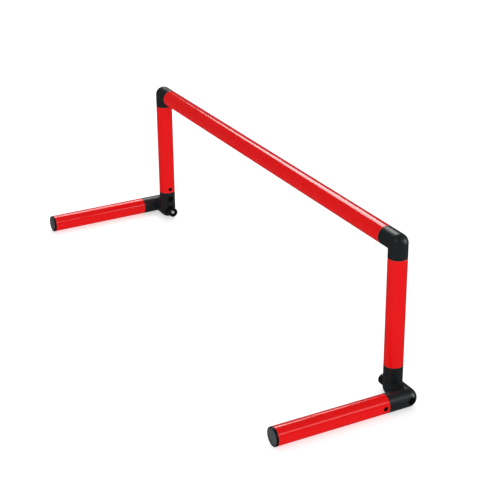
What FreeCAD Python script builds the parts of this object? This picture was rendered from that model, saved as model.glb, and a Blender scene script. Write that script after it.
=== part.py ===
import FreeCAD, Part
import math
import os

# A folding speed hurdle: a tube arch whose two feet fold up beside its uprights.
# Millimetres. X runs along the crossbar, Y from the feet's caps back to the uprights, Z up from the floor.
# The origin is on the floor in the middle of the footprint. The right side is at +X, and the left side is
# its mirror image. A knuckle's own "out" is the distance outwards from its upright's axis.

# Tubes, all cut from one size of pipe
tube_diameter = 33.4
tube_wall = 3.4
tube_end_rounding = 0.4
upright_spacing = 893.0  # between the uprights' axes
bar_height = 280.4  # from the floor to the crossbar's axis
foot_tube_length = 208.0

# Moulded connectors, flush with the tubes: necks are the straight lengths beyond the crease of each bend
elbow_bar_neck = 18.5
elbow_upright_neck = 8.9
upright_neck = 25.6
foot_neck = 26.5
rim_rounding = 0.6
elbow_crease_rounding = 4.0  # inside an elbow's bend
spigot_length = 28.0
spigot_wall = 3.0
spigot_clearance = 0.1
spigot_tip_rounding = 1.5

# Fold joint between an upright knuckle and a foot knuckle
fold_gap = 8.6  # between a folded foot tube and its upright
face_gap = 0.3  # between the two knuckles
release_travel = 5.0
stop_lug_diameter = 4.0
stop_lug_engagement = 2.5  # left in the groove at full release
stop_lug_clearance = 0.3
stop_groove_wall = 2.9  # between the lug's groove and the knuckle's outside
fold_angle = 90.0

# Blind peg socket in the inner face of an upright knuckle
peg_socket_diameter = 12.5
peg_socket_depth = 10.0
peg_socket_drop = 14.7  # below the upright's seam
socket_web = 3.0  # between the socket and the hollow spigot above it

# Pivot bolt, with its head sunk in the foot knuckle
bolt_diameter = 6.0
bolt_clearance = 0.05
bolt_tip_rounding = 0.5
bolt_head_diameter = 10.0
bolt_head_height = 6.0
bolt_head_rounding = 0.6
bolt_head_recess = 8.5  # below the foot knuckle's outer face
key_width = 5.0  # across the flats of the key socket
key_depth = 3.0
counterbore_diameter = 13.0
counterbore_web = 4.0  # between the counterbore and the hollow spigot

# Release spring, its washer and clip on the bolt, and its chamber in the upright knuckle
chamber_diameter = 15.0
chamber_depth = 16.0
spring_wire = 1.2
spring_diameter = 12.0
spring_turns = 3.5
spring_length = 10.5
spring_end_gap = 0.02
washer_diameter = 13.0
washer_thickness = 1.2
washer_clearance = 0.15
clip_diameter = 11.0
clip_thickness = 0.8
clip_groove_diameter = 4.8
clip_clearance = 0.03
clip_mouth = 4.2
clip_notch_diameter = 2.4
clip_notch_angle = 125.0  # from the middle of the clip's mouth

# Push knob on the bolt's inner end: an open cup, with the bolt's tip inside, that slides into a recess
knob_diameter = 19.5
knob_length = 15.0
knob_reach = 13.0  # from the upright knuckle's inner face to the knob's rim
knob_wall = 1.8
knob_floor_thickness = 4.0  # the solid end that the bolt is screwed into
knob_rim_rounding = 0.8
knob_fit = 0.02
knob_recess_diameter = 22.5
knob_recess_clearance = 1.5  # behind the knob at full release
bolt_tip_drop = 1.5  # from the knob's rim down to the bolt's tip

# End cap of a foot
cap_rim_thickness = 4.0
cap_rim_width = 2.0
cap_rim_rounding = 0.9
cap_lip_rounding = 0.4
cap_dish_depth = 0.8
cap_web = 2.4
cap_plug_length = 14.0
cap_plug_wall = 2.4

# Countersunk self-tapping screws through the tubes into the spigots
screw_diameter = 4.2
screw_length = 10.0
screw_tip_length = 2.5
screw_head_diameter = 8.4
screw_head_height = 2.6
screw_sink = 0.6  # from the tube's crown to the head's flat top
screw_clearance = 0.05
screw_setback = 8.3  # from the tube's end
cross_span = 4.8
cross_width = 1.3
cross_depth = 1.5

# How far every cutting tool runs past the face that it opens
overrun = 1.0

# Sizes that follow from those above
tube_radius = tube_diameter / 2
tube_bore_radius = tube_radius - tube_wall
spigot_radius = tube_bore_radius - spigot_clearance
core_radius = spigot_radius - spigot_wall
half_spacing = upright_spacing / 2
elbow_bar_reach = tube_radius + elbow_bar_neck
elbow_upright_reach = tube_radius + elbow_upright_neck
upright_seam_height = tube_diameter + upright_neck
foot_seam_reach = tube_radius + foot_neck
foot_reach = foot_seam_reach + foot_tube_length + cap_rim_thickness
pivot_y = (foot_reach - tube_radius) / 2
pivot_height = tube_radius
foot_out = tube_diameter + fold_gap
upright_face_out = (foot_out - face_gap) / 2
foot_face_out = (foot_out + face_gap) / 2
bolt_radius = bolt_diameter / 2
bolt_hole_radius = bolt_radius + bolt_clearance
bolt_head_top_out = foot_out + tube_radius - bolt_head_recess
counterbore_floor_out = bolt_head_top_out - bolt_head_height
chamber_floor_out = chamber_depth - tube_radius
washer_face_out = chamber_floor_out - spring_length
clip_face_out = washer_face_out - washer_thickness
clip_back_out = clip_face_out - clip_thickness
knob_front_out = -tube_radius - knob_reach
knob_back_out = knob_front_out + knob_length
knob_floor_out = knob_back_out - knob_floor_thickness
knob_recess_floor_out = knob_back_out + release_travel + knob_recess_clearance
bolt_tip_out = knob_front_out + bolt_tip_drop
clip_groove_radius = clip_groove_diameter / 2
stop_lug_length = release_travel + stop_lug_engagement
stop_groove_half_width = stop_lug_diameter / 2 + stop_lug_clearance
stop_lug_radius = tube_radius - stop_groove_wall - stop_groove_half_width  # from the pivot's axis

up = FreeCAD.Vector(0, 0, 1)
down = FreeCAD.Vector(0, 0, -1)
forwards = FreeCAD.Vector(0, -1, 0)
backwards = FreeCAD.Vector(0, 1, 0)
fold_axis = FreeCAD.Vector(-1, 0, 0)  # folding turns a foot from forwards to up

# The stop lug's angle round the pivot, where 0 is backwards and 90 is up
lug_angle_down = 180 + fold_angle / 2


def one_solid(shape):
    """The single solid that a boolean result holds, with its split faces joined."""
    solids = shape.removeSplitter().Solids
    if len(solids) != 1:
        raise ValueError(f"expected one solid, found {len(solids)}")
    return solids[0]


def outline(corners):
    """Closed wire in the XZ plane through corners (x, z) or (x, z, rounding)."""
    points = [FreeCAD.Vector(corner[0], 0, corner[1]) for corner in corners]
    starts, middles, ends = [], [], []
    for index, corner in enumerate(corners):
        point = points[index]
        before = (points[index - 1] - point).normalize()
        after = (points[(index + 1) % len(points)] - point).normalize()
        rounding = corner[2] if len(corner) > 2 else 0
        half_angle = before.getAngle(after) / 2
        trim = rounding / math.tan(half_angle)
        bisector = (before + after).normalize() if rounding else before
        starts.append(point + before * trim)
        middles.append(point + bisector * (rounding / math.sin(half_angle) - rounding))
        ends.append(point + after * trim)
    edges = []
    for index in range(len(points)):
        edges.append(Part.LineSegment(ends[index - 1], starts[index]).toShape())
        if starts[index] != ends[index]:
            edges.append(Part.Arc(starts[index], middles[index], ends[index]).toShape())
    return Part.Wire(edges)


def aim(shape, origin, direction):
    """Set the shape's own Z axis along direction, with its own zero at origin."""
    shape.Placement = FreeCAD.Placement(origin, FreeCAD.Rotation(up, direction))
    return shape


def turned(corners, origin, direction):
    """Solid of revolution: corners are (radius, height along direction), with an optional rounding."""
    profile = Part.Face(outline(corners))
    return aim(profile.revolve(FreeCAD.Vector(0, 0, 0), up, 360), origin, direction)


def rod(radius, start, end, end_rounding=0):
    """Round bar from start to end, with its far rim rounded."""
    length = (end - start).Length
    corners = [(0, 0), (radius, 0), (radius, length, end_rounding), (0, length)]
    return turned(corners, start, end - start)


def bend(radius, corner, ends, end_rounding=0, crease_rounding=0):
    """Two round legs that meet in a mitre at a right angle, with a ball-shaped outer corner. The crease inside
    the bend is the only elliptical edge."""
    first, second = [(end - corner).normalize() for end in ends]
    axis = first.cross(second)
    reach = radius + overrun
    legs = []
    for end, along, across in ((ends[0], first, second), (ends[1], second, first)):
        far_corners = [corner + (along + across) * reach, corner + across * reach - along * overrun]
        triangle = Part.makePolygon([corner, *far_corners, corner])
        triangle.translate(axis * -reach)
        beyond_mitre = Part.Face(triangle).extrude(axis * (2 * reach))
        legs.append(rod(radius, corner, end, end_rounding).cut(beyond_mitre))
    top = corner + axis * radius
    bottom = corner - axis * radius
    rim = Part.Arc(top, corner - first * radius, bottom).toShape()
    chord = Part.LineSegment(bottom, top).toShape()
    ball = Part.Face(Part.Wire([rim, chord])).revolve(corner, axis, 90)
    body = one_solid(legs[0].fuse([legs[1], ball]))
    if not crease_rounding:
        return body
    edges = [edge for edge in body.Edges if not edge.Degenerated]
    return body.makeFillet(crease_rounding, [edge for edge in edges if isinstance(edge.Curve, Part.Ellipse)])


def spigot(seam, direction):
    """Round plug that goes from a connector's rim into a tube."""
    return rod(spigot_radius, seam, seam + direction * spigot_length, spigot_tip_rounding)


def spigot_mouth(seam, direction):
    """Where the hollow of a spigot opens, past its tip."""
    return seam + direction * (spigot_length + overrun)


def screw_seat(tube_axis_point, direction):
    """Centre of a screw head's flat top."""
    return tube_axis_point + direction * (tube_radius - screw_sink)


def screw(tube_axis_point, direction):
    """Countersunk screw with a cross recess, driven towards the tube's axis."""
    shank_radius = screw_diameter / 2
    corners = [
        (0, 0),
        (screw_head_diameter / 2, 0),
        (shank_radius, -screw_head_height),
        (shank_radius, screw_tip_length - screw_length),
        (0, -screw_length),
    ]
    body = turned(corners, FreeCAD.Vector(0, 0, 0), up)
    for length, width in ((cross_span, cross_width), (cross_width, cross_span)):
        low_corner = FreeCAD.Vector(-length / 2, -width / 2, -cross_depth)
        body = body.cut(Part.makeBox(length, width, cross_depth + overrun, low_corner))
    return aim(one_solid(body), screw_seat(tube_axis_point, direction), direction)


def screw_hole(tube_axis_point, direction):
    """Countersunk hole for a screw, through the tube's wall and the spigot's."""
    head_radius = screw_head_diameter / 2 + screw_clearance
    shank_radius = screw_diameter / 2 + screw_clearance
    corners = [
        (0, screw_sink + overrun),
        (head_radius, screw_sink + overrun),
        (head_radius, 0),
        (shank_radius, -screw_head_height),
        (shank_radius, -screw_length),
        (0, -screw_length),
    ]
    return turned(corners, screw_seat(tube_axis_point, direction), direction)


def tube(start, end, screw_places):
    """Pipe with rounded ends, drilled for its screws."""
    length = (end - start).Length
    corners = [
        (tube_bore_radius, 0),
        (tube_radius, 0, tube_end_rounding),
        (tube_radius, length, tube_end_rounding),
        (tube_bore_radius, length),
    ]
    return one_solid(turned(corners, start, end - start).cut([screw_hole(*place) for place in screw_places]))


def tangent_arc(start, tangent, end):
    """Arc that leaves start along tangent and reaches end."""
    chord = end - start
    along = FreeCAD.Vector(chord).normalize()
    cosine = tangent.dot(along)
    side = (tangent - along * cosine).normalize()
    height = chord.Length / 2 * math.sqrt((1 - cosine) / (1 + cosine))
    return Part.Arc(start, (start + end) / 2 + side * height, end).toShape()


def biarc(start, start_tangent, end, end_tangent):
    """Two arcs that join tangentially and meet both ends along their tangents."""
    chord = end - start
    both = start_tangent + end_tangent
    spread = 2 * (1 - start_tangent.dot(end_tangent))
    reach = (math.sqrt(chord.dot(both) ** 2 + spread * chord.dot(chord)) - chord.dot(both)) / spread
    first_knee = start + start_tangent * reach
    last_knee = end - end_tangent * reach
    middle = (first_knee + last_knee) / 2
    middle_tangent = (last_knee - first_knee).normalize()
    return [tangent_arc(start, start_tangent, middle), tangent_arc(middle, middle_tangent, end)]


def least_gap(edges, points_per_edge, edges_per_turn):
    """Least clear distance between turns of the spring's wire, measured on points along its middle."""
    points = []
    for edge in edges:
        points.extend(edge.discretize(points_per_edge + 1)[:-1])
    half_turn = points_per_edge * edges_per_turn // 2
    distances = []
    for index, near in enumerate(points):
        distances.extend((far - near).Length for far in points[index + half_turn :])
    return min(distances) - spring_wire


class Side:
    """One side of the hurdle: the right side with sign 1, the left side with sign -1."""

    def __init__(self, sign):
        self.sign = sign
        self.outwards = FreeCAD.Vector(sign, 0, 0)
        self.inwards = FreeCAD.Vector(-sign, 0, 0)
        self.pivot = self.at(0, 0, pivot_height)
        self.bar_corner = self.at(0, 0, bar_height)
        self.foot_corner = self.at(foot_out, 0, pivot_height)
        self.bar_end = self.bar_corner + self.inwards * elbow_bar_reach
        self.upright_top = self.bar_corner + down * elbow_upright_reach
        self.upright_bottom = self.at(0, 0, upright_seam_height)
        self.foot_near_end = self.foot_corner + forwards * foot_seam_reach
        self.foot_far_end = self.foot_near_end + forwards * foot_tube_length
        # Where each screw crosses its tube's axis, and the way its head faces
        self.bar_screw = (self.bar_end + self.inwards * screw_setback, down)
        self.upright_top_screw = (self.upright_top + down * screw_setback, backwards)
        self.upright_bottom_screw = (self.upright_bottom + up * screw_setback, self.inwards)
        self.foot_screw = (self.foot_near_end + forwards * screw_setback, self.outwards)

    def at(self, out, back, height):
        """Point out from the upright's axis, back from the pivot and up from the floor."""
        return FreeCAD.Vector(self.sign * (half_spacing + out), pivot_y + back, height)

    def round_pivot(self, radius, angle, out):
        """Point at a radius and angle round the pivot's axis, where 0 is backwards and 90 is up."""
        turn = math.radians(angle)
        return self.at(out, radius * math.cos(turn), pivot_height + radius * math.sin(turn))

    def pivot_turned(self, corners):
        """Solid of revolution about the pivot's axis: corners are (radius, out)."""
        return turned(corners, self.pivot, self.outwards)

    def upright_tube(self):
        screw_places = [self.upright_bottom_screw, self.upright_top_screw]
        return tube(self.upright_bottom, self.upright_top, screw_places)

    def foot_tube(self):
        return tube(self.foot_near_end, self.foot_far_end, [self.foot_screw])

    def corner_elbow(self):
        """Hollow bend with a spigot for the crossbar and one for the upright."""
        ends = [self.bar_end, self.upright_top]
        body = bend(tube_radius, self.bar_corner, ends, rim_rounding, elbow_crease_rounding)
        body = body.fuse([spigot(self.bar_end, self.inwards), spigot(self.upright_top, down)])
        mouths = [spigot_mouth(self.bar_end, self.inwards), spigot_mouth(self.upright_top, down)]
        cuts = [bend(core_radius, self.bar_corner, mouths)]
        cuts += [screw_hole(*self.bar_screw), screw_hole(*self.upright_top_screw)]
        return one_solid(body.cut(cuts))

    def stop_groove(self):
        """Curved slot in the upright knuckle's face that the foot's lug runs in."""
        floor_out = upright_face_out - stop_lug_length - stop_lug_clearance
        mouth_out = upright_face_out + overrun
        inner = stop_lug_radius - stop_groove_half_width
        outer = stop_lug_radius + stop_groove_half_width
        places = [(inner, floor_out), (outer, floor_out), (outer, mouth_out), (inner, mouth_out)]
        ring = [self.round_pivot(radius, lug_angle_down, out) for radius, out in places]
        section = Part.Face(Part.makePolygon(ring + ring[:1]))
        slot = section.revolve(self.pivot, fold_axis, fold_angle)
        ends = []
        for angle in (lug_angle_down, lug_angle_down - fold_angle):
            start = self.round_pivot(stop_lug_radius, angle, floor_out)
            end = self.round_pivot(stop_lug_radius, angle, mouth_out)
            ends.append(rod(stop_groove_half_width, start, end))
        return slot.fuse(ends)

    def upright_knuckle(self):
        """Inner half of the fold joint, with the knob's recess, the spring's chamber, the stop groove and the
        peg socket."""
        face = self.at(upright_face_out, 0, pivot_height)
        body = bend(tube_radius, self.pivot, [self.upright_bottom, face], rim_rounding)
        body = body.fuse(spigot(self.upright_bottom, up))
        socket_height = upright_seam_height - peg_socket_drop
        socket_radius = peg_socket_diameter / 2
        socket_floor = self.at(peg_socket_depth - tube_radius, 0, socket_height)
        socket = rod(socket_radius, socket_floor, self.at(-tube_radius - overrun, 0, socket_height))
        hollow_floor = self.at(0, 0, socket_height + socket_radius + socket_web)
        hollow = rod(core_radius, hollow_floor, spigot_mouth(self.upright_bottom, up))
        recess_radius = knob_recess_diameter / 2
        chamber_radius = chamber_diameter / 2
        chamber = self.pivot_turned(
            [
                (0, -tube_radius - overrun),
                (recess_radius, -tube_radius - overrun),
                (recess_radius, knob_recess_floor_out),
                (chamber_radius, knob_recess_floor_out),
                (chamber_radius, chamber_floor_out),
                (bolt_hole_radius, chamber_floor_out),
                (bolt_hole_radius, upright_face_out + overrun),
                (0, upright_face_out + overrun),
            ]
        )
        cuts = [hollow, socket, chamber, self.stop_groove(), screw_hole(*self.upright_bottom_screw)]
        return one_solid(body.cut(cuts))

    def foot_knuckle(self):
        """Outer half of the fold joint, with the bolt head's counterbore and the stop lug."""
        face = self.at(foot_face_out, 0, pivot_height)
        body = bend(tube_radius, self.foot_corner, [self.foot_near_end, face], rim_rounding)
        lug_root = self.round_pivot(stop_lug_radius, lug_angle_down, foot_out)
        lug_tip = self.round_pivot(stop_lug_radius, lug_angle_down, foot_face_out - stop_lug_length)
        lug = rod(stop_lug_diameter / 2, lug_root, lug_tip)
        body = body.fuse([spigot(self.foot_near_end, forwards), lug])
        hollow_floor = self.foot_corner + forwards * (counterbore_diameter / 2 + counterbore_web)
        hollow = rod(core_radius, hollow_floor, spigot_mouth(self.foot_near_end, forwards))
        outer_face_out = foot_out + tube_radius
        bolt_hole = self.pivot_turned(
            [
                (0, foot_face_out - overrun),
                (bolt_hole_radius, foot_face_out - overrun),
                (bolt_hole_radius, counterbore_floor_out),
                (counterbore_diameter / 2, counterbore_floor_out),
                (counterbore_diameter / 2, outer_face_out + overrun),
                (0, outer_face_out + overrun),
            ]
        )
        return one_solid(body.cut([hollow, bolt_hole, screw_hole(*self.foot_screw)]))

    def foot_cap(self):
        """Dished end cap with a hollow plug inside the foot tube."""
        dish_floor = cap_rim_thickness - cap_dish_depth
        dish_radius = tube_radius - cap_rim_width
        plug_inner_radius = spigot_radius - cap_plug_wall
        corners = [
            (0, dish_floor),
            (dish_radius, dish_floor),
            (dish_radius, cap_rim_thickness, cap_lip_rounding),
            (tube_radius, cap_rim_thickness, cap_rim_rounding),
            (tube_radius, 0, tube_end_rounding),
            (spigot_radius, 0),
            (spigot_radius, -cap_plug_length, spigot_tip_rounding),
            (plug_inner_radius, -cap_plug_length),
            (plug_inner_radius, dish_floor - cap_web),
            (0, dish_floor - cap_web),
        ]
        return one_solid(turned(corners, self.foot_far_end, forwards))

    def pivot_bolt(self):
        """Bolt with a six-sided key socket in its head and a clip groove near its inner end."""
        head_radius = bolt_head_diameter / 2
        body = self.pivot_turned(
            [
                (0, bolt_tip_out),
                (bolt_radius, bolt_tip_out, bolt_tip_rounding),
                (bolt_radius, clip_back_out),
                (clip_groove_radius, clip_back_out),
                (clip_groove_radius, clip_face_out),
                (bolt_radius, clip_face_out),
                (bolt_radius, counterbore_floor_out),
                (head_radius, counterbore_floor_out),
                (head_radius, bolt_head_top_out, bolt_head_rounding),
                (0, bolt_head_top_out),
            ]
        )
        key_radius = key_width / math.sqrt(3)
        floor_out = bolt_head_top_out - key_depth
        ring = [self.round_pivot(key_radius, 60 * corner, floor_out) for corner in range(7)]
        key_socket = Part.Face(Part.makePolygon(ring)).extrude(self.outwards * (key_depth + overrun))
        return one_solid(body.cut(key_socket))

    def release_knob(self):
        """Cup that a thumb pushes, on the bolt's tip."""
        hole_radius = bolt_radius + knob_fit
        knob_radius = knob_diameter / 2
        corners = [
            (hole_radius, knob_floor_out),
            (knob_radius - knob_wall, knob_floor_out),
            (knob_radius - knob_wall, knob_front_out, knob_rim_rounding),
            (knob_radius, knob_front_out, knob_rim_rounding),
            (knob_radius, knob_back_out, knob_rim_rounding),
            (hole_radius, knob_back_out),
        ]
        return one_solid(self.pivot_turned(corners))

    def spring_washer(self):
        """Flat washer between the spring and its clip."""
        hole_radius = bolt_radius + washer_clearance
        corners = [
            (hole_radius, clip_face_out),
            (washer_diameter / 2, clip_face_out),
            (washer_diameter / 2, washer_face_out),
            (hole_radius, washer_face_out),
        ]
        return one_solid(self.pivot_turned(corners))

    def spring_clip(self):
        """Open ring snapped into the bolt's groove, with its mouth up and a notch each side."""
        seat_radius = clip_groove_radius + clip_clearance
        ring = self.pivot_turned(
            [
                (seat_radius, clip_back_out),
                (clip_diameter / 2, clip_back_out),
                (clip_diameter / 2, clip_face_out),
                (seat_radius, clip_face_out),
            ]
        )
        start_out = clip_back_out - overrun
        end_out = clip_face_out + overrun
        half_mouth = clip_mouth / 2
        places = [(start_out, -half_mouth), (start_out, half_mouth)]
        places += [(end_out, half_mouth), (end_out, -half_mouth)]
        mouth_corners = [self.at(out, back, pivot_height) for out, back in places]
        mouth = Part.Face(Part.makePolygon(mouth_corners + mouth_corners[:1])).extrude(up * clip_diameter)
        cuts = [mouth]
        for angle in (90 - clip_notch_angle, 90 + clip_notch_angle):
            start = self.round_pivot(seat_radius, angle, start_out)
            end = self.round_pivot(seat_radius, angle, end_out)
            cuts.append(rod(clip_notch_diameter / 2, start, end))
        return one_solid(ring.cut(cuts))

    def release_spring(self):
        """Compression spring from the washer to the chamber's floor, wound the same way on both sides."""
        coil_radius = (spring_diameter - spring_wire) / 2
        end_clearance = spring_wire / 2 + spring_end_gap
        first_out = washer_face_out + end_clearance
        rise = chamber_floor_out - end_clearance - first_out
        quarters = round(spring_turns * 4)
        ends, tangents = [], []
        for quarter in range(quarters + 1):
            angle = self.sign * 90 * quarter
            end = self.round_pivot(coil_radius, angle, first_out + rise * quarter / quarters)
            across = self.round_pivot(coil_radius, angle + self.sign * 90, 0) - self.pivot
            ends.append(end)
            tangents.append((across + self.outwards * (rise / math.radians(90 * quarters))).normalize())
        edges = []
        for quarter in range(quarters):
            edges += biarc(ends[quarter], tangents[quarter], ends[quarter + 1], tangents[quarter + 1])
        print("release spring, least gap between turns in mm:", round(least_gap(edges, 8, 8), 3))
        section = Part.Wire(Part.makeCircle(spring_wire / 2, ends[0], tangents[0]))
        return one_solid(Part.Wire(edges).makePipeShell([section], True, False))


right = Side(1)
left = Side(-1)
nodes = {"crossbar_tube": tube(left.bar_end, right.bar_end, [left.bar_screw, right.bar_screw])}
for side_name, side in (("left", left), ("right", right)):
    nodes[side_name + "_upright_tube"] = side.upright_tube()
    nodes[side_name + "_foot_tube"] = side.foot_tube()
    nodes[side_name + "_corner_elbow"] = side.corner_elbow()
    nodes[side_name + "_upright_knuckle"] = side.upright_knuckle()
    nodes[side_name + "_foot_knuckle"] = side.foot_knuckle()
    nodes[side_name + "_foot_cap"] = side.foot_cap()
    nodes[side_name + "_pivot_bolt"] = side.pivot_bolt()
    nodes[side_name + "_release_knob"] = side.release_knob()
    nodes[side_name + "_release_spring"] = side.release_spring()
    nodes[side_name + "_spring_washer"] = side.spring_washer()
    nodes[side_name + "_spring_clip"] = side.spring_clip()
    nodes[side_name + "_bar_screw"] = screw(*side.bar_screw)
    nodes[side_name + "_upright_top_screw"] = screw(*side.upright_top_screw)
    nodes[side_name + "_upright_bottom_screw"] = screw(*side.upright_bottom_screw)
    nodes[side_name + "_foot_screw"] = screw(*side.foot_screw)

os.makedirs("parts", exist_ok=True)
for name, shape in nodes.items():
    shape.exportStep(f"parts/{name}.step")
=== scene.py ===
import math

import bpy
from mathutils import Matrix, Vector


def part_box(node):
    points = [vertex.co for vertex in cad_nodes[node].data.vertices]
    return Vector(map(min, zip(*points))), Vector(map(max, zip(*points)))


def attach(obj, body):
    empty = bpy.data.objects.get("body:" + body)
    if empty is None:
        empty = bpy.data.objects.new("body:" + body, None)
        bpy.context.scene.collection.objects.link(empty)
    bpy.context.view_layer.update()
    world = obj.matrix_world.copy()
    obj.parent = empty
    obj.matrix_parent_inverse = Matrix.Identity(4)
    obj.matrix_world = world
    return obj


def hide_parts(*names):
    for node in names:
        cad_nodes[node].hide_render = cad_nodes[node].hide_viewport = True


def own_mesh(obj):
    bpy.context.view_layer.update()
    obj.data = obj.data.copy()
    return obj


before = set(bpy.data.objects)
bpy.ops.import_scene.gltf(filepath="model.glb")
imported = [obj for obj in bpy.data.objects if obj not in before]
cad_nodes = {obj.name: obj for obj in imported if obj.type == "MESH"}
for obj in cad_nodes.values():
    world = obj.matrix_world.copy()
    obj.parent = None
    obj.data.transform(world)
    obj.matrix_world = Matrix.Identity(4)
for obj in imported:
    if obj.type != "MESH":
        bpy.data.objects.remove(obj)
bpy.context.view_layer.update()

# Metres, in the part's own frame: X along the crossbar, Y from the feet's caps back to the
# uprights, Z up.
MM = 0.001
SIDES = {"left": -1, "right": 1}

# Kinds of node that the materials and shapes use most
PLACE = "ShaderNodeTexCoord"
MAPPING = "ShaderNodeMapping"
NOISE = "ShaderNodeTexNoise"
SPLIT = "ShaderNodeSeparateXYZ"
JOIN = "ShaderNodeCombineXYZ"
MATH = "ShaderNodeMath"
VECTOR_MATH = "ShaderNodeVectorMath"
RANGE = "ShaderNodeMapRange"
MIX = "ShaderNodeMix"
BUMP = "ShaderNodeBump"
SURFACE = "ShaderNodeBsdfPrincipled"
OUTPUT = "ShaderNodeOutputMaterial"
TRANSFORM = "GeometryNodeTransform"
CONE = "GeometryNodeMeshCone"
CIRCLE = "GeometryNodeCurvePrimitiveCircle"
BOOLEAN = "GeometryNodeMeshBoolean"
SWEEP = "GeometryNodeCurveToMesh"
CAPTURE = "GeometryNodeCaptureAttribute"

# Sockets of a colour mix
FACTOR, FIRST, SECOND, MIXED = 0, 6, 7, 2

# Most of a noise's values lie between these two.
NOISE_LOW, NOISE_HIGH = 0.3, 0.7

PVC_IOR = 1.53
NYLON_IOR = 1.53
POLYETHYLENE_IOR = 1.51


def linear(hex_code):
    """An sRGB hex colour as linear red, green, blue and full alpha."""
    channels = [int(hex_code[i : i + 2], 16) / 255 for i in (1, 3, 5)]
    return (*[c / 12.92 if c <= 0.04045 else ((c + 0.055) / 1.055) ** 2.4 for c in channels], 1.0)


def add(tree, kind, inputs=None, **settings):
    """Adds a node with its settings. Each input takes a value, a socket, a node (its first output)
    or a list of these."""
    node = tree.nodes.new(kind)
    for name, value in settings.items():
        setattr(node, name, value)
    for name, given in (inputs or {}).items():
        for value in given if isinstance(given, list) else [given]:
            if isinstance(value, bpy.types.Node):
                value = value.outputs[0]
            if isinstance(value, bpy.types.NodeSocket):
                tree.links.new(value, node.inputs[name])
            else:
                node.inputs[name].default_value = value
    return node


def node_material(name):
    """An empty node material, its tree and the place on the piece that its patterns read."""
    material = bpy.data.materials.new(name)
    material.use_nodes = True
    tree = material.node_tree
    tree.nodes.clear()
    return material, tree, add(tree, PLACE).outputs["Object"]


def dress(material, *names):
    """Gives CAD nodes a material, in the slot that they already have."""
    for name in names:
        cad_nodes[name].material_slots[0].material = material


def pipe_line(name):
    """A pipe's middle, the index of the axis that it follows, and half its length."""
    low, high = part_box(name)
    size = high - low
    axis = max(range(3), key=lambda index: size[index])
    return (low + high) / 2, axis, size[axis] / 2


# Places taken from the CAD nodes
bar_half = pipe_line("crossbar_tube")[2]
upright_middle, _, upright_half = pipe_line("right_upright_tube")
foot_middle, _, foot_half = pipe_line("right_foot_tube")
tube_radius = foot_middle.z
bolt_low, bolt_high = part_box("right_pivot_bolt")
pivot = (bolt_low + bolt_high) / 2
knob_low, knob_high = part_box("right_release_knob")
knob_radius = (knob_high.z - knob_low.z) / 2


def axis_distance(tree, place, centre, across):
    """How far a place on the piece lies from an axis through a centre. The directions across the
    axis are 1, the one along it is 0."""
    own = add(tree, MAPPING, {"Vector": place, "Location": centre}, vector_type="TEXTURE")
    flat = add(tree, VECTOR_MATH, {0: own, 1: across}, operation="MULTIPLY")
    return add(tree, VECTOR_MATH, {0: flat}, operation="LENGTH").outputs["Value"]


def hairlines(tree, place, lean, length):
    """Slender marks that lie all one way. Real scratches are hair fine, too fine to show."""
    width = 0.5 * MM
    laid = add(
        tree, MAPPING, {"Vector": place, "Rotation": lean, "Scale": (width, width, length)},
        vector_type="TEXTURE")
    return add(tree, NOISE, {"Vector": laid, "Scale": 1.0, "Detail": 0.0})


def floor_wear(tree, place, marks):
    """Drag marks from standing on floors, on the lowest few millimetres of a piece."""
    worn_height = 4 * MM
    height = add(tree, SPLIT, {"Vector": place}).outputs["Z"]
    low = add(tree, RANGE, {"Value": height, "From Min": worn_height, "From Max": 0.0})
    dragged = add(tree, RANGE, {"Value": marks, "From Min": 0.48, "From Max": 0.61})
    return add(tree, MATH, {0: low, 1: dragged}, operation="MULTIPLY")


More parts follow.
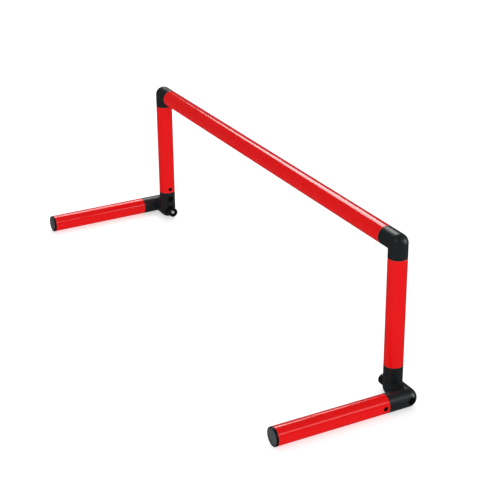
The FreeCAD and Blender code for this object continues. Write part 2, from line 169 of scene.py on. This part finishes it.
def red_pvc(name):
    """Rigid PVC pipe, extruded and glossy. The die leaves faint lines along it, the skin has a slow
    ripple that bends its reflections, floors scratch its lowest line, and the sawn ends are a
    little paler."""
    # Real die lines are a tenth as wide, too fine to show.
    line_size = (2.4 * MM, 2.4 * MM, 216 * MM)
    line_depth = 0.0004 * MM
    ripple_size = (16 * MM, 16 * MM, 70 * MM)
    ripple_depth = 0.002 * MM
    pigment_size = 45 * MM
    handled_size = 60 * MM
    sawn_start, sawn_full = 0.8 * MM, 0.2 * MM
    wear_paleness = 0.22
    wear_dullness = 0.3
    middle, axis, half = pipe_line(name)
    along = {0: (0, math.pi / 2, 0), 1: (-math.pi / 2, 0, 0), 2: (0, 0, 0)}[axis]
    material, tree, place = node_material("red PVC pipe, extruded gloss, " + name)
    own = add(
        tree, MAPPING, {"Vector": place, "Location": middle, "Rotation": along},
        vector_type="TEXTURE")
    line_place = add(tree, MAPPING, {"Vector": own, "Scale": line_size}, vector_type="TEXTURE")
    die_lines = add(tree, NOISE, {"Vector": line_place, "Scale": 1.0, "Detail": 1.0})
    ripple_place = add(tree, MAPPING, {"Vector": own, "Scale": ripple_size}, vector_type="TEXTURE")
    ripple = add(tree, NOISE, {"Vector": ripple_place, "Scale": 1.0, "Detail": 1.0})
    pigment = add(tree, NOISE, {"Vector": own, "Scale": 1 / pigment_size, "Detail": 2.0})
    marks = hairlines(tree, own, lean=(1.2, 0.3, 0.4), length=14 * MM)
    handled = add(tree, NOISE, {"Vector": own, "Scale": 1 / handled_size, "Detail": 1.0})
    fine = add(tree, RANGE, {"Value": marks, "From Min": 0.74, "From Max": 0.8})
    rubbed = add(tree, RANGE, {"Value": handled, "From Min": 0.52, "From Max": 0.7})
    scuffs = add(tree, MATH, {0: fine, 1: rubbed}, operation="MULTIPLY")
    dragged = floor_wear(tree, place, marks)
    worn = add(tree, MATH, {0: scuffs, 1: dragged}, operation="MAXIMUM")
    faint = add(tree, MATH, {0: worn, 1: wear_paleness}, operation="MULTIPLY")
    lengthways = add(tree, SPLIT, {"Vector": own}).outputs["Z"]
    reach = add(tree, MATH, {0: lengthways}, operation="ABSOLUTE")
    sawn = add(tree, RANGE, {
        "Value": reach, "From Min": half - sawn_start, "From Max": half - sawn_full, "To Max": 0.3})
    even = add(tree, MIX, {
        FACTOR: pigment, FIRST: linear("#DB070B"), SECOND: linear("#E4090D")}, data_type="RGBA")
    used = add(tree, MIX, {
        FACTOR: faint, FIRST: even.outputs[MIXED], SECOND: linear("#F27A70")}, data_type="RGBA")
    red = add(tree, MIX, {
        FACTOR: sawn, FIRST: used.outputs[MIXED], SECOND: linear("#FF6A62")}, data_type="RGBA")
    gloss = add(tree, RANGE, {
        "Value": die_lines, "From Min": NOISE_LOW, "From Max": NOISE_HIGH,
        "To Min": 0.13, "To Max": 0.17})
    dulled = add(tree, MATH, {0: worn, 1: wear_dullness, 2: gloss}, operation="MULTIPLY_ADD")
    skin = add(tree, BUMP, {"Height": ripple, "Strength": 1.0, "Distance": ripple_depth})
    lined = add(tree, BUMP, {
        "Height": die_lines, "Normal": skin, "Strength": 1.0, "Distance": line_depth})
    shader = add(tree, SURFACE, {
        "Base Color": red.outputs[MIXED], "Roughness": dulled, "Normal": lined, "IOR": PVC_IOR})
    add(tree, OUTPUT, {"Surface": shader})
    return material


def black_nylon(name, seams):
    """Glass-filled nylon, moulded in a spark-eroded tool: an even fine grain, satin, with flow
    marks that change its gloss. Its rims, at the seams (axis letter, place), are rubbed smoother
    and paler."""
    # The real grain is about 0.1 mm, too fine to show.
    grain_size = 0.9 * MM
    grain_depth = 0.022 * MM
    flow_size = (22 * MM, 22 * MM, 35 * MM)
    rim_start, rim_full = 1.2 * MM, 0.2 * MM
    rim_paleness = 0.2
    rim_polish = -0.1
    wear_paleness = 0.2
    material, tree, place = node_material("black nylon, moulded satin, " + name)
    parts = add(tree, SPLIT, {"Vector": place})
    grain = add(tree, NOISE, {"Vector": place, "Scale": 1 / grain_size, "Detail": 3.0})
    flow_place = add(tree, MAPPING, {"Vector": place, "Scale": flow_size}, vector_type="TEXTURE")
    flow = add(tree, NOISE, {"Vector": flow_place, "Scale": 1.0, "Detail": 2.0})
    marks = hairlines(tree, place, lean=(0.7, 0.9, 0.3), length=9 * MM)
    fine = add(tree, RANGE, {"Value": marks, "From Min": 0.76, "From Max": 0.84, "To Max": 0.4})
    dragged = floor_wear(tree, place, marks)
    worn = add(tree, MATH, {0: fine, 1: dragged}, operation="MAXIMUM")
    faint = add(tree, MATH, {0: worn, 1: wear_paleness}, operation="MULTIPLY")
    rims = None
    for letter, where in seams:
        reach = add(tree, MATH, {0: parts.outputs[letter]}, operation="ABSOLUTE")
        away = add(tree, MATH, {0: reach, 1: where}, operation="SUBTRACT")
        off = add(tree, MATH, {0: away}, operation="ABSOLUTE")
        rim = add(tree, RANGE, {"Value": off, "From Min": rim_start, "From Max": rim_full})
        rims = add(tree, MATH, {0: rims, 1: rim}, operation="MAXIMUM") if rims else rim
    pale = add(tree, MATH, {0: rims, 1: rim_paleness}, operation="MULTIPLY")
    even = add(tree, MIX, {
        FACTOR: flow, FIRST: linear("#14171A"), SECOND: linear("#1A1E21")}, data_type="RGBA")
    used = add(tree, MIX, {
        FACTOR: faint, FIRST: even.outputs[MIXED], SECOND: linear("#5C5F61")}, data_type="RGBA")
    black = add(tree, MIX, {
        FACTOR: pale, FIRST: used.outputs[MIXED], SECOND: linear("#3A3D3F")}, data_type="RGBA")
    satin = add(tree, RANGE, {
        "Value": flow, "From Min": NOISE_LOW, "From Max": NOISE_HIGH,
        "To Min": 0.33, "To Max": 0.41})
    gloss = add(tree, MATH, {0: rims, 1: rim_polish, 2: satin}, operation="MULTIPLY_ADD")
    bump = add(tree, BUMP, {"Height": grain, "Strength": 1.0, "Distance": grain_depth})
    shader = add(tree, SURFACE, {
        "Base Color": black.outputs[MIXED], "Roughness": gloss, "Normal": bump, "IOR": NYLON_IOR})
    add(tree, OUTPUT, {"Surface": shader})
    return material


def grey_polyethylene(side, sign):
    """Low-density polyethylene cap, moulded: a matt grained dish inside a smoother rim that is
    painted near black as shade, with the flat mark of its moulding gate in the middle."""
    rim_start, rim_full = tube_radius - 2.4 * MM, tube_radius - 1.9 * MM
    gate_start, gate_full = 2.2 * MM, 1.7 * MM
    # The real grain is about 0.2 mm, too fine to show.
    grain_size = 1.2 * MM
    grain_share = 0.25
    relief_depth = 0.12 * MM
    cloud_size = 12 * MM
    rim_polish = -0.15
    material, tree, place = node_material("grey polyethylene, moulded matt, " + side + " cap")
    centre = (sign * foot_middle.x, 0, foot_middle.z)
    radius = axis_distance(tree, place, centre, across=(1, 0, 1))
    rim = add(tree, RANGE, {"Value": radius, "From Min": rim_start, "From Max": rim_full})
    gate = add(tree, RANGE, {"Value": radius, "From Min": gate_start, "From Max": gate_full})
    grain = add(tree, NOISE, {"Vector": place, "Scale": 1 / grain_size, "Detail": 3.0})
    cloud = add(tree, NOISE, {"Vector": place, "Scale": 1 / cloud_size, "Detail": 2.0})
    dish = add(tree, MIX, {
        FACTOR: cloud, FIRST: linear("#43474A"), SECOND: linear("#4C5053")}, data_type="RGBA")
    # The rim is painted near black: painted shade on the rounded rim, darker than the dish.
    grey = add(tree, MIX, {
        FACTOR: rim, FIRST: dish.outputs[MIXED], SECOND: linear("#070808")}, data_type="RGBA")
    matt = add(tree, RANGE, {
        "Value": cloud, "From Min": NOISE_LOW, "From Max": NOISE_HIGH,
        "To Min": 0.5, "To Max": 0.6})
    gloss = add(tree, MATH, {0: rim, 1: rim_polish, 2: matt}, operation="MULTIPLY_ADD")
    relief = add(tree, MATH, {0: grain, 1: grain_share, 2: gate}, operation="MULTIPLY_ADD")
    bump = add(
        tree, BUMP, {"Height": relief, "Strength": 1.0, "Distance": relief_depth}, invert=True)
    shader = add(tree, SURFACE, {
        "Base Color": grey.outputs[MIXED], "Roughness": gloss, "Normal": bump,
        "IOR": POLYETHYLENE_IOR, "Specular IOR Level": 0.3})
    add(tree, OUTPUT, {"Surface": shader})
    return material


def knob_nylon():
    """Nylon push knob, moulded in a fine-grained tool: deep black, with its rim rubbed glossy by
    thumbs."""
    outer_start, outer_full = knob_radius - 1.5 * MM, knob_radius - 1.0 * MM
    rubbed_length = 3 * MM
    rim_polish = -0.14
    # The real grain is about 0.1 mm, too fine to show.
    grain_size = 0.8 * MM
    grain_depth = 0.012 * MM
    smear_size = 5 * MM
    material, tree, place = node_material("black nylon, moulded, thumb polished knob")
    radius = axis_distance(tree, place, (0, pivot.y, pivot.z), across=(0, 1, 1))
    outer = add(tree, RANGE, {"Value": radius, "From Min": outer_start, "From Max": outer_full})
    lengthways = add(tree, SPLIT, {"Vector": place}).outputs["X"]
    along = add(tree, MATH, {0: lengthways}, operation="ABSOLUTE")
    near = add(tree, RANGE, {
        "Value": along, "From Min": knob_low.x + rubbed_length, "From Max": knob_low.x})
    rubbed = add(tree, MATH, {0: outer, 1: near}, operation="MULTIPLY")
    grain = add(tree, NOISE, {"Vector": place, "Scale": 1 / grain_size, "Detail": 2.0})
    smear = add(tree, NOISE, {"Vector": place, "Scale": 1 / smear_size, "Detail": 2.0})
    black = add(tree, MIX, {
        FACTOR: smear, FIRST: linear("#08090A"), SECOND: linear("#0D0E0F")}, data_type="RGBA")
    satin = add(tree, RANGE, {
        "Value": smear, "From Min": NOISE_LOW, "From Max": NOISE_HIGH,
        "To Min": 0.34, "To Max": 0.44})
    gloss = add(tree, MATH, {0: rubbed, 1: rim_polish, 2: satin}, operation="MULTIPLY_ADD")
    bump = add(tree, BUMP, {"Height": grain, "Strength": 0.7, "Distance": grain_depth})
    shader = add(tree, SURFACE, {
        "Base Color": black.outputs[MIXED], "Roughness": gloss, "Normal": bump, "IOR": NYLON_IOR})
    add(tree, OUTPUT, {"Surface": shader})
    return material


def zinc_steel():
    """Turned steel, zinc plated and passivated: fine turning rings about the bolt's axis, under a
    whitish, part metallic coat whose pale colour is partly plating and partly a painted sheen that
    looks bright from every side. The bolt's outer end, deep in its counterbore, is painted black as
    shade."""
    # Real turning rings are about 0.1 mm apart, too fine to show.
    ring_size = 0.35 * MM
    ring_depth = 0.006 * MM
    cloud_size = 4 * MM
    # The bolt's outer end, sunk in its counterbore, is painted black: painted shade.
    head_shade_start = bolt_high.x - 10.5 * MM
    head_shade_full = head_shade_start + 0.5 * MM
    material, tree, place = node_material("zinc plated steel, whitish, painted sheen")
    radius = axis_distance(tree, place, (0, pivot.y, pivot.z), across=(0, 1, 1))
    along = add(tree, SPLIT, {"Vector": place}).outputs["X"]
    turned = add(tree, JOIN, {"X": along, "Y": radius})
    rings = add(tree, NOISE, {"Vector": turned, "Scale": 1 / ring_size, "Detail": 2.0})
    cloud = add(tree, NOISE, {"Vector": place, "Scale": 1 / cloud_size, "Detail": 2.0})
    outwards = add(tree, MATH, {0: along}, operation="ABSOLUTE")
    painted_head_shade = add(tree, RANGE, {
        "Value": outwards, "From Min": head_shade_start, "From Max": head_shade_full})
    metallic_share = add(tree, RANGE, {"Value": painted_head_shade, "To Min": 0.6, "To Max": 0.0})
    # The pale whitish colour, on a coat that is only part metallic, is partly plating and partly a
    # painted sheen.
    plating_and_painted_sheen = add(tree, MIX, {
        FACTOR: cloud, FIRST: linear("#E3E6EA"), SECOND: linear("#F2F1EE")}, data_type="RGBA")
    # Painted shade: the bolt's outer end goes black and is not metallic.
    coat = add(tree, MIX, {
        FACTOR: painted_head_shade, FIRST: plating_and_painted_sheen.outputs[MIXED], SECOND: linear("#0B0B0C")}, data_type="RGBA")
    gloss = add(tree, RANGE, {
        "Value": rings, "From Min": NOISE_LOW, "From Max": NOISE_HIGH,
        "To Min": 0.26, "To Max": 0.4})
    bump = add(tree, BUMP, {"Height": rings, "Strength": 1.0, "Distance": ring_depth})
    shader = add(tree, SURFACE, {
        "Base Color": coat.outputs[MIXED], "Roughness": gloss, "Normal": bump,
        "Metallic": metallic_share})
    add(tree, OUTPUT, {"Surface": shader})
    return material


def spring_wire_steel():
    """Hard-drawn spring steel: grey, with drawing lines that follow the wire."""
    # Real drawing lines are a tenth as wide, too fine to show.
    line_size = (0.3 * MM, 0.3 * MM, 12 * MM)
    line_depth = 0.006 * MM
    material, tree, _ = node_material("spring steel, hard drawn wire")
    way = add(tree, "ShaderNodeAttribute", attribute_name="wire_way").outputs["Vector"]
    line_place = add(tree, MAPPING, {"Vector": way, "Scale": line_size}, vector_type="TEXTURE")
    lines = add(tree, NOISE, {"Vector": line_place, "Scale": 1.0, "Detail": 2.0})
    grey = add(tree, MIX, {
        FACTOR: lines, FIRST: linear("#7E8084"), SECOND: linear("#A2A3A6")}, data_type="RGBA")
    gloss = add(tree, RANGE, {
        "Value": lines, "From Min": NOISE_LOW, "From Max": NOISE_HIGH,
        "To Min": 0.28, "To Max": 0.42})
    bump = add(tree, BUMP, {"Height": lines, "Strength": 1.0, "Distance": line_depth})
    shader = add(tree, SURFACE, {
        "Base Color": grey.outputs[MIXED], "Roughness": gloss, "Normal": bump, "Metallic": 1.0})
    add(tree, OUTPUT, {"Surface": shader})
    return material


def phosphate_steel():
    """Screw steel, black phosphated: a dull crystal coat that is rubbed through in specks."""
    # Real crystals are about 0.02 mm, too fine to show.
    crystal_size = 0.35 * MM
    crystal_depth = 0.02 * MM
    blotch_size = 0.8 * MM
    material, tree, place = node_material("black phosphated steel")
    crystals = add(tree, NOISE, {"Vector": place, "Scale": 1 / crystal_size, "Detail": 3.0})
    blotches = add(tree, NOISE, {"Vector": place, "Scale": 1 / blotch_size, "Detail": 1.0})
    specks = add(tree, RANGE, {
        "Value": blotches, "From Min": 0.66, "From Max": 0.72, "To Max": 0.25})
    whole = add(tree, MIX, {
        FACTOR: crystals, FIRST: linear("#0C0D0E"), SECOND: linear("#151617")}, data_type="RGBA")
    coat = add(tree, MIX, {
        FACTOR: specks, FIRST: whole.outputs[MIXED], SECOND: linear("#6A6C70")}, data_type="RGBA")
    gloss = add(tree, RANGE, {
        "Value": crystals, "From Min": NOISE_LOW, "From Max": NOISE_HIGH,
        "To Min": 0.42, "To Max": 0.58})
    bump = add(tree, BUMP, {"Height": crystals, "Strength": 1.0, "Distance": crystal_depth})
    shader = add(tree, SURFACE, {
        "Base Color": coat.outputs[MIXED], "Roughness": gloss, "Normal": bump, "Metallic": 0.7})
    add(tree, OUTPUT, {"Surface": shader})
    return material


def opal_acrylic():
    """Opal acrylic light table: white and matt with a faint haze, lit from below so that shadows
    stay pale."""
    haze_size = 30 * MM
    material, tree, place = node_material("opal acrylic light table")
    haze = add(tree, NOISE, {"Vector": place, "Scale": 1 / haze_size, "Detail": 3.0})
    white = add(tree, MIX, {
        FACTOR: haze, FIRST: linear("#D6D6D6"), SECOND: linear("#D9D9D9")}, data_type="RGBA")
    shader = add(tree, SURFACE, {
        "Base Color": white.outputs[MIXED], "Roughness": 0.9, "Specular IOR Level": 0.1,
        "Emission Color": linear("#FFFFFF"), "Emission Strength": 0.52})
    add(tree, OUTPUT, {"Surface": shader})
    return material


bar_seam = ("X", bar_half)
top_seam = ("Z", upright_middle.z + upright_half)
bottom_seam = ("Z", upright_middle.z - upright_half)
foot_seam = ("Y", foot_middle.y + foot_half)

for pipe in (
    "crossbar_tube", "left_upright_tube", "right_upright_tube", "left_foot_tube", "right_foot_tube",
):
    dress(red_pvc(pipe), pipe)
for connector, connector_seams in (
    ("corner_elbow", (bar_seam, top_seam)),
    ("upright_knuckle", (bottom_seam,)),
    ("foot_knuckle", (foot_seam,)),
):
    dress(black_nylon(connector, connector_seams), "left_" + connector, "right_" + connector)
for side, sign in SIDES.items():
    dress(grey_polyethylene(side, sign), side + "_foot_cap")
dress(knob_nylon(), "left_release_knob", "right_release_knob")
plated_steel = zinc_steel()
for fitting in ("pivot_bolt", "spring_washer", "spring_clip"):
    dress(plated_steel, "left_" + fitting, "right_" + fitting)


def geometry_tree(name, inputs):
    """A geometry tree with a geometry in and out and named inputs, and its group input's
    sockets."""
    tree = bpy.data.node_groups.new(name, "GeometryNodeTree")
    tree.interface.new_socket("Geometry", in_out="INPUT", socket_type="NodeSocketGeometry")
    for label, kind in inputs.items():
        tree.interface.new_socket(label, in_out="INPUT", socket_type="NodeSocket" + kind)
    tree.interface.new_socket("Geometry", in_out="OUTPUT", socket_type="NodeSocketGeometry")
    return tree, add(tree, "NodeGroupInput").outputs


def close_tree(tree, geometry, material):
    """Ends a geometry tree in Realize Instances and Set Material."""
    real = add(tree, "GeometryNodeRealizeInstances", {"Geometry": geometry})
    made = add(tree, "GeometryNodeSetMaterial", {"Geometry": real, "Material": material})
    add(tree, "NodeGroupOutput", {0: made})


def grown(name, base, tree, values, body):
    """A piece that a geometry tree makes from a base mesh, as a plain mesh on its body."""
    piece = bpy.data.objects.new(name, base)
    bpy.context.scene.collection.objects.link(piece)
    modifier = piece.modifiers.new(tree.name, "NODES")
    modifier.node_group = tree
    for socket in tree.interface.items_tree:
        if socket.in_out == "INPUT" and socket.name in values:
            modifier[socket.identifier] = values[socket.name]
    shape = piece.evaluated_get(bpy.context.evaluated_depsgraph_get())
    mesh = bpy.data.meshes.new_from_object(shape)
    piece.modifiers.clear()
    piece.data = mesh
    mesh.name = name
    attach(piece, body)
    return piece


def spring_tree():
    """A compression spring along Z, from its first lift to its last, with its end turns wound
    close."""
    tree, size = geometry_tree("compression spring", {
        "Coil Radius": "Float", "Wire Radius": "Float", "Turned Angle": "Float",
        "First Lift": "Float", "Last Lift": "Float", "Start": "Vector", "Lean": "Vector",
        "Material": "Material"})
    steps = 280
    wire_sides = 14
    end_turn_share = 0.06
    line = add(tree, "GeometryNodeMeshLine", {"Count": steps})
    index = add(tree, "GeometryNodeInputIndex")
    share = add(tree, MATH, {0: index, 1: steps - 1.0}, operation="DIVIDE")
    angle = add(tree, MATH, {0: share, 1: size["Turned Angle"]}, operation="MULTIPLY")
    lift = add(tree, RANGE, {
        "Value": share, "From Min": end_turn_share, "From Max": 1 - end_turn_share,
        "To Min": size["First Lift"], "To Max": size["Last Lift"]}, interpolation_type="SMOOTHSTEP")
    cosine = add(tree, MATH, {0: angle}, operation="COSINE")
    sine = add(tree, MATH, {0: angle}, operation="SINE")
    across = add(tree, MATH, {0: cosine, 1: size["Coil Radius"]}, operation="MULTIPLY")
    beside = add(tree, MATH, {0: sine, 1: size["Coil Radius"]}, operation="MULTIPLY")
    point = add(tree, JOIN, {"X": across, "Y": beside, "Z": lift})
    placed = add(tree, "GeometryNodeSetPosition", {"Geometry": line, "Position": point})
    path = add(tree, CAPTURE, {"Geometry": add(tree, "GeometryNodeMeshToCurve", {"Mesh": placed})})
    path.capture_items.new("FLOAT", "along")
    tree.links.new(add(tree, "GeometryNodeSplineParameter").outputs["Length"], path.inputs[1])
    section = add(tree, CIRCLE, {"Resolution": wire_sides, "Radius": size["Wire Radius"]})
    ring = add(tree, CAPTURE, {"Geometry": section})
    ring.capture_items.new("VECTOR", "around")
    tree.links.new(add(tree, "GeometryNodeInputPosition").outputs[0], ring.inputs[1])
    wire = add(tree, SWEEP, {"Curve": path, "Profile Curve": ring, "Fill Caps": True})
    around = add(tree, SPLIT, {"Vector": ring.outputs[1]})
    way = add(tree, JOIN, {
        "X": around.outputs["X"], "Y": around.outputs["Y"], "Z": path.outputs[1]})
    marked = add(
        tree, "GeometryNodeStoreNamedAttribute",
        {"Geometry": wire, "Name": "wire_way", "Value": way}, data_type="FLOAT_VECTOR")
    smooth = add(tree, "GeometryNodeSetShadeSmooth", {"Geometry": marked})
    set_down = add(tree, TRANSFORM, {
        "Geometry": smooth, "Translation": size["Start"], "Rotation": size["Lean"]})
    close_tree(tree, set_down, size["Material"])
    return tree


THREAD_INPUTS = {
    "Core Radius": "Float", "Ridge Radius": "Float", "Thread Turns": "Float",
    "Thread Length": "Float", "Thread Start": "Vector"}


def thread_ridge(tree, size):
    """The ridge of a thread about Z, upwards from the thread's start."""
    steps_per_turn = 24
    ridge_sides = 4
    spiral = add(tree, "GeometryNodeCurveSpiral", {
        "Resolution": steps_per_turn, "Rotations": size["Thread Turns"],
        "Start Radius": size["Core Radius"], "End Radius": size["Core Radius"],
        "Height": size["Thread Length"]})
    path = add(tree, TRANSFORM, {"Geometry": spiral, "Translation": size["Thread Start"]})
    edge = add(tree, CIRCLE, {"Resolution": ridge_sides, "Radius": size["Ridge Radius"]})
    return add(tree, SWEEP, {"Curve": path, "Profile Curve": edge, "Fill Caps": True})


def screw_tree():
    """Countersunk cross-recessed tapping screws, one on each point of a mesh, facing the point's
    own way."""
    tree, size = geometry_tree("tapping screws", {
        **THREAD_INPUTS, "Head Radius": "Float", "Head Height": "Float", "Head Start": "Vector",
        "Tip Radius": "Float", "Tip Length": "Float", "Tip Start": "Vector", "Cross Long": "Vector",
        "Cross Wide": "Vector", "Material": "Material"})
    sides = 48
    lengths = []
    for start, depth, low_radius, high_radius in (
        ("Head Start", "Head Height", "Core Radius", "Head Radius"),
        ("Thread Start", "Thread Length", "Core Radius", "Core Radius"),
        ("Tip Start", "Tip Length", "Tip Radius", "Core Radius"),
    ):
        length = add(tree, CONE, {
            "Vertices": sides, "Depth": size[depth], "Radius Bottom": size[low_radius],
            "Radius Top": size[high_radius]})
        lengths.append(add(tree, TRANSFORM, {"Geometry": length, "Translation": size[start]}))
    body = add(tree, BOOLEAN, {"Mesh 2": lengths}, operation="UNION")
    arms = [
        add(tree, "GeometryNodeMeshCube", {"Size": size[arm]})
        for arm in ("Cross Long", "Cross Wide")]
    driven = add(tree, BOOLEAN, {"Mesh 1": body, "Mesh 2": arms}, operation="DIFFERENCE")
    screw = add(tree, "GeometryNodeJoinGeometry", {0: [driven, thread_ridge(tree, size)]})
    facing = add(
        tree, "GeometryNodeInputNamedAttribute", {"Name": "facing"}, data_type="FLOAT_VECTOR")
    turn = add(tree, "FunctionNodeAlignRotationToVector", {"Vector": facing}, axis="Z")
    seated = add(tree, "GeometryNodeInstanceOnPoints", {
        "Points": size["Geometry"], "Instance": screw, "Rotation": turn})
    close_tree(tree, seated, size["Material"])
    return tree


def bolt_thread_tree():
    """The rolled thread at a bolt's tip, along Z and then leant over."""
    tree, size = geometry_tree("bolt thread", {
        **THREAD_INPUTS, "Start": "Vector", "Lean": "Vector", "Material": "Material"})
    set_down = add(tree, TRANSFORM, {
        "Geometry": thread_ridge(tree, size), "Translation": size["Start"],
        "Rotation": size["Lean"]})
    close_tree(tree, set_down, size["Material"])
    return tree


drawn_steel = spring_wire_steel()
compression_spring = spring_tree()
bolt_thread = bolt_thread_tree()
spring_wire_radius = 0.6 * MM
spring_turns = 3.5
bolt_radius = 3 * MM
bolt_pitch = 1 * MM
bolt_ridge_radius = 0.3 * MM
thread_runout = 1.5 * bolt_pitch
knob_floor_thickness = 4 * MM
for side, sign in SIDES.items():
    low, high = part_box(side + "_release_spring")
    middle = (low + high) / 2
    length = high.x - low.x
    washer_end, floor_end = (low.x, high.x) if sign > 0 else (high.x, low.x)
    outwards_lean = (0, sign * math.pi / 2, 0)
    spring = grown(
        side + "_release_spring_wire", bpy.data.meshes.new("empty"), compression_spring,
        {
            "Coil Radius": (high.z - low.z) / 2 - spring_wire_radius,
            "Wire Radius": spring_wire_radius,
            "Turned Angle": spring_turns * math.tau,
            "First Lift": spring_wire_radius,
            "Last Lift": length - spring_wire_radius,
            "Start": (washer_end, middle.y, middle.z),
            "Lean": outwards_lean,
            "Material": drawn_steel,
        },
        "frame",
    )
    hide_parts(side + "_release_spring")
    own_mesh(spring)
    # The thread shows inside the knob's cup, from its floor to just short of the bolt's tip.
    cup_low, cup_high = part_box(side + "_release_knob")
    rod_low, rod_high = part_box(side + "_pivot_bolt")
    tip_x, cup_end_x = (rod_low.x, cup_high.x) if sign > 0 else (rod_high.x, cup_low.x)
    thread_length = abs(cup_end_x - tip_x) - knob_floor_thickness - thread_runout
    grown(
        side + "_bolt_thread", bpy.data.meshes.new("empty"), bolt_thread,
        {
            "Core Radius": bolt_radius,
            "Ridge Radius": bolt_ridge_radius,
            "Thread Turns": thread_length / bolt_pitch,
            "Thread Length": thread_length,
            "Start": (tip_x + sign * bolt_pitch, pivot.y, pivot.z),
            "Lean": outwards_lean,
            "Material": plated_steel,
        },
        side + "_release",
    )

screw_head_height = 2.6 * MM
screw_length = 10 * MM
screw_tip_length = 2.5 * MM
screw_pitch = 1.4 * MM
cross_span = 4.8 * MM
cross_width = 1.3 * MM
cross_depth = 1.5 * MM
screw_thread_length = screw_length - screw_head_height - screw_tip_length
screw_sizes = {
    "Head Radius": 4.2 * MM,
    "Head Height": screw_head_height,
    "Head Start": (0, 0, -screw_head_height),
    "Core Radius": 1.5 * MM,
    "Ridge Radius": 0.6 * MM,
    "Thread Turns": screw_thread_length / screw_pitch,
    "Thread Length": screw_thread_length,
    "Thread Start": (0, 0, -screw_head_height - screw_thread_length),
    "Tip Radius": 0.05 * MM,
    "Tip Length": screw_tip_length,
    "Tip Start": (0, 0, -screw_length),
    "Cross Long": (cross_span, cross_width, 2 * cross_depth),
    "Cross Wide": (cross_width, cross_span, 2 * cross_depth),
    "Material": phosphate_steel(),
}
tapping_screws = screw_tree()
screws = {"frame": [], "left_foot": [], "right_foot": []}
for side, sign in SIDES.items():
    screws["frame"].append((side + "_bar_screw", Vector((0, 0, -1))))
    screws["frame"].append((side + "_upright_top_screw", Vector((0, 1, 0))))
    screws["frame"].append((side + "_upright_bottom_screw", Vector((-sign, 0, 0))))
    screws[side + "_foot"].append((side + "_foot_screw", Vector((sign, 0, 0))))
for body, placed in screws.items():
    seats = []
    for name, facing in placed:
        low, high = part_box(name)
        reach = (high - low).dot(Vector([abs(part) for part in facing])) / 2
        seats.append((low + high) / 2 + facing * reach)
    points = bpy.data.meshes.new(body + " screw seats")
    points.from_pydata(seats, [], [])
    ways = points.attributes.new("facing", "FLOAT_VECTOR", "POINT")
    ways.data.foreach_set("vector", [part for _, facing in placed for part in facing])
    set_of_screws = grown(
        body + "_screws", points, tapping_screws, screw_sizes, body)
    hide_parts(*[name for name, _ in placed])

hurdle_middle = Vector((0, 0, 0.1))


def panel(name, place, width, height, radiance, lights=True, mirrored=True):
    """A soft rectangular light at a place in metres, turned towards the hurdle. It lights matt
    surfaces, or is mirrored in glossy ones, or both."""
    light = bpy.data.lights.new(name, "AREA")
    light.shape = "RECTANGLE"
    light.size = width
    light.size_y = height
    light.energy = radiance * math.pi * width * height
    lamp = bpy.data.objects.new(name, light)
    bpy.context.scene.collection.objects.link(lamp)
    lamp.location = place
    lamp.rotation_mode = "QUATERNION"
    lamp.rotation_quaternion = (Vector(place) - hurdle_middle).to_track_quat("Z", "Y")
    lamp.visible_diffuse = lights
    lamp.visible_glossy = mirrored


panel("side softbox", place=(-1.8, 0.9, 1.85), width=1.1, height=1.12, radiance=5.6)
panel("strip light", place=(3.95, 1.94, 2.65), width=1.4, height=0.7, radiance=2.8)
panel("rim light", place=(1.5, 1.95, 0.75), width=0.9, height=1.0, radiance=6, lights=False)
panel("front bank", place=(0.9, -1.95, 2.2), width=2.0, height=1.2, radiance=0.6, lights=False)
panel("fill", place=(3.3, -1.5, 1.7), width=2.0, height=2.0, radiance=2.85, mirrored=False)

floor_half = 8
floor_corners = [
    (x * floor_half, y * floor_half, 0) for x, y in ((-1, -1), (1, -1), (1, 1), (-1, 1))]
floor_mesh = bpy.data.meshes.new("floor")
floor_mesh.from_pydata(floor_corners, [], [(0, 1, 2, 3)])
floor_mesh.materials.append(opal_acrylic())
floor = bpy.data.objects.new("floor", floor_mesh)
bpy.context.scene.collection.objects.link(floor)
floor.visible_glossy = False

# Soft light comes from all round, the backdrop is white, and gloss mirrors little but the lights,
# as if dark cloth hung round the set.
soft_glow = 0.72
mirrored_glow = 0.08
world = bpy.data.worlds.new("white studio")
world.use_nodes = True
sky = world.node_tree
sky.nodes.clear()
ray = add(sky, "ShaderNodeLightPath")
walls = add(sky, RANGE, {
    "Value": ray.outputs["Is Glossy Ray"], "To Min": soft_glow, "To Max": mirrored_glow})
glow = add(sky, MATH, {0: walls, 1: ray.outputs["Is Camera Ray"]}, operation="MAXIMUM")
surround = add(sky, "ShaderNodeBackground", {"Color": linear("#FFFFFF"), "Strength": glow})
add(sky, "ShaderNodeOutputWorld", {"Surface": surround})
bpy.context.scene.world = world
bpy.context.scene.view_settings.view_transform = "Standard"

# The photograph's viewpoint, from the pipes' edges and seams, on a square picture
camera_azimuth = math.radians(61.994)
camera_elevation = math.radians(24.312)
camera_roll = math.radians(-0.476)
camera_distance = 2.574
camera_target = Vector((0.00002, 0.08733, 0.09836))
backwards = Vector((
    math.sin(camera_azimuth) * math.cos(camera_elevation),
    -math.cos(camera_azimuth) * math.cos(camera_elevation),
    math.sin(camera_elevation),
))
level = Vector((math.cos(camera_azimuth), math.sin(camera_azimuth), 0))
rightwards = math.cos(camera_roll) * level + math.sin(camera_roll) * backwards.cross(level)
upwards = backwards.cross(rightwards)
lens = bpy.data.cameras.new("camera")
lens.sensor_width = 36
lens.lens = 96.76
camera = bpy.data.objects.new("camera", lens)
bpy.context.scene.collection.objects.link(camera)
camera_turn = Matrix((rightwards, upwards, backwards)).transposed().to_4x4()
camera_place = camera_target + backwards * camera_distance
camera.matrix_world = Matrix.Translation(camera_place) @ camera_turn
bpy.context.scene.camera = camera
